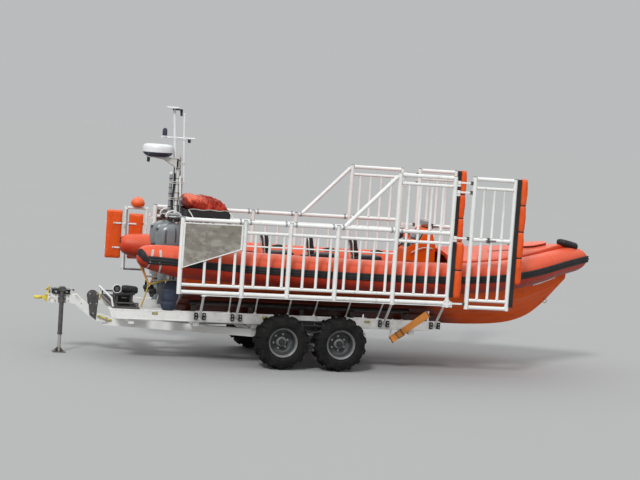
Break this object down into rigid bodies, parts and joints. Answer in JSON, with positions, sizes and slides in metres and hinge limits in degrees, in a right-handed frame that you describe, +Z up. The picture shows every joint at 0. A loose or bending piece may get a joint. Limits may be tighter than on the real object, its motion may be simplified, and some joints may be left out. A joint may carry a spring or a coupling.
{
  "type": "inshore rescue boat on launching carriage",
  "caption": "Orange rigid inflatable rescue boat with radar mast and righting bag, standing on a wheeled beach launching carriage with high side fences and padded guide gates.",
  "frame": {"origin": "ground point under the middle of the whole assembly's box", "axes": "+X towards the bow and the seaward gates, +Y to port, +Z up"},
  "size_m": [10.0078, 3.4392, 4.275],
  "materials": {
    "frame_white": "satin",
    "yellow_paint": "satin",
    "dark_steel": "satin",
    "black_kit": "matte",
    "fence_tube": "satin",
    "pad_cover": "matte",
    "webbing": "matte",
    "hull_moulding": "gloss",
    "deck_grey": "matte",
    "sponson_cloth": "satin",
    "black_rubber": "matte",
    "seat_cover": "matte",
    "gantry_alloy": "satin",
    "white_plastic": "gloss",
    "engine_alloy": "gloss",
    "tyre": "matte",
    "rim_steel": "satin"
  },
  "bodies": {
    "carriage_and_boat": {"chassis": "frame_white", "cradle": "frame_white", "tow_eye": "yellow_paint", "parking_jack": "dark_steel", "winch": "dark_steel", "stern_platform": "black_kit", "bogie_beam_port": "dark_steel", "bogie_beam_starboard": "dark_steel", "fence_port": "fence_tube", "fence_starboard": "fence_tube", "outrigger_port": "fence_tube", "outrigger_starboard": "fence_tube", "plate_panel_port": "fence_tube", "plate_panel_starboard": "fence_tube", "inner_pad_port": "pad_cover", "inner_pad_starboard": "pad_cover", "strap_port": "webbing", "strap_starboard": "webbing", "hull": "hull_moulding", "cockpit_deck": "deck_grey", "foredeck": "hull_moulding", "sponson_port": "sponson_cloth", "sponson_starboard": "sponson_cloth", "strake_port": "black_rubber", "strake_starboard": "black_rubber", "bow_fairlead": "black_rubber", "helm_console": "hull_moulding", "helm_wheel": "black_kit", "seat_row": "seat_cover", "gantry": "gantry_alloy", "bag_tray": "black_kit", "righting_bag": "sponson_cloth", "mast": "gantry_alloy", "radar": "white_plastic", "transom_bracket": "engine_alloy"},
    "wheel_sea_port": {"tyre_sea_port": "tyre", "rim_sea_port": "rim_steel"},
    "wheel_land_port": {"tyre_land_port": "tyre", "rim_land_port": "rim_steel"},
    "wheel_sea_starboard": {"tyre_sea_starboard": "tyre", "rim_sea_starboard": "rim_steel"},
    "wheel_land_starboard": {"tyre_land_starboard": "tyre", "rim_land_starboard": "rim_steel"},
    "gate_port": {"outer_gate_port": "fence_tube", "outer_pad_port": "pad_cover"},
    "gate_starboard": {"outer_gate_starboard": "fence_tube", "outer_pad_starboard": "pad_cover"},
    "landward_gate": {"stern_gate": "fence_tube", "stern_board_outboard": "pad_cover", "stern_board_inboard": "pad_cover", "gate_float": "pad_cover"},
    "swivel_port": {"swivel_bracket_port": "engine_alloy"},
    "swivel_starboard": {"swivel_bracket_starboard": "engine_alloy"},
    "outboard_port": {"engine_port": "engine_alloy"},
    "outboard_starboard": {"engine_starboard": "engine_alloy"},
    "screw_port": {"propeller_port": "engine_alloy"},
    "screw_starboard": {"propeller_starboard": "engine_alloy"}
  },
  "joints": [
    {"name": "wheel_sea_port_spin", "type": "hinge", "parent": "carriage_and_boat", "child": "wheel_sea_port", "pos_m": [0.0611, 1.24, 0.465], "axis": [0, 1, 0], "continuous": true},
    {"name": "wheel_land_port_spin", "type": "hinge", "parent": "carriage_and_boat", "child": "wheel_land_port", "pos_m": [-0.9389, 1.24, 0.465], "axis": [0, 1, 0], "continuous": true},
    {"name": "wheel_sea_starboard_spin", "type": "hinge", "parent": "carriage_and_boat", "child": "wheel_sea_starboard", "pos_m": [0.0611, -1.24, 0.465], "axis": [0, 1, 0], "continuous": true},
    {"name": "wheel_land_starboard_spin", "type": "hinge", "parent": "carriage_and_boat", "child": "wheel_land_starboard", "pos_m": [-0.9389, -1.24, 0.465], "axis": [0, 1, 0], "continuous": true},
    {"name": "gate_port_swing", "type": "hinge", "parent": "carriage_and_boat", "child": "gate_port", "pos_m": [1.8811, 1.6, 2.4], "axis": [0, 0, 1], "range_deg": [-2, 78]},
    {"name": "gate_starboard_swing", "type": "hinge", "parent": "carriage_and_boat", "child": "gate_starboard", "pos_m": [1.8811, -1.6, 2.4], "axis": [0, 0, -1], "range_deg": [-2, 78]},
    {"name": "landward_gate_swing", "type": "hinge", "parent": "carriage_and_boat", "child": "landward_gate", "pos_m": [-2.8689, 1.6, 1.9], "axis": [0, 0, -1], "range_deg": [0, 90]},
    {"name": "outboard_port_tilt", "type": "hinge", "parent": "carriage_and_boat", "child": "swivel_port", "pos_m": [-2.6539, 0.33, 1.64], "axis": [0, 1, 0], "range_deg": [0, 60]},
    {"name": "outboard_starboard_tilt", "type": "hinge", "parent": "carriage_and_boat", "child": "swivel_starboard", "pos_m": [-2.6539, -0.33, 1.64], "axis": [0, 1, 0], "range_deg": [0, 60]},
    {"name": "outboard_port_steer", "type": "hinge", "parent": "swivel_port", "child": "outboard_port", "pos_m": [-2.7689, 0.33, 1.5], "axis": [0, 0, 1], "range_deg": [-25, 25]},
    {"name": "outboard_starboard_steer", "type": "hinge", "parent": "swivel_starboard", "child": "outboard_starboard", "pos_m": [-2.7689, -0.33, 1.5], "axis": [0, 0, 1], "range_deg": [-25, 25]},
    {"name": "screw_port_spin", "type": "hinge", "parent": "outboard_port", "child": "screw_port", "pos_m": [-3.0389, 0.33, 1.12], "axis": [1, 0, 0], "continuous": true},
    {"name": "screw_starboard_spin", "type": "hinge", "parent": "outboard_starboard", "child": "screw_starboard", "pos_m": [-3.0389, -0.33, 1.12], "axis": [1, 0, 0], "continuous": true}
  ],
  "couplings": [
    {"joint": "outboard_starboard_tilt", "follows": "outboard_port_tilt", "ratio": 1},
    {"joint": "outboard_starboard_steer", "follows": "outboard_port_steer", "ratio": 1}
  ]
}
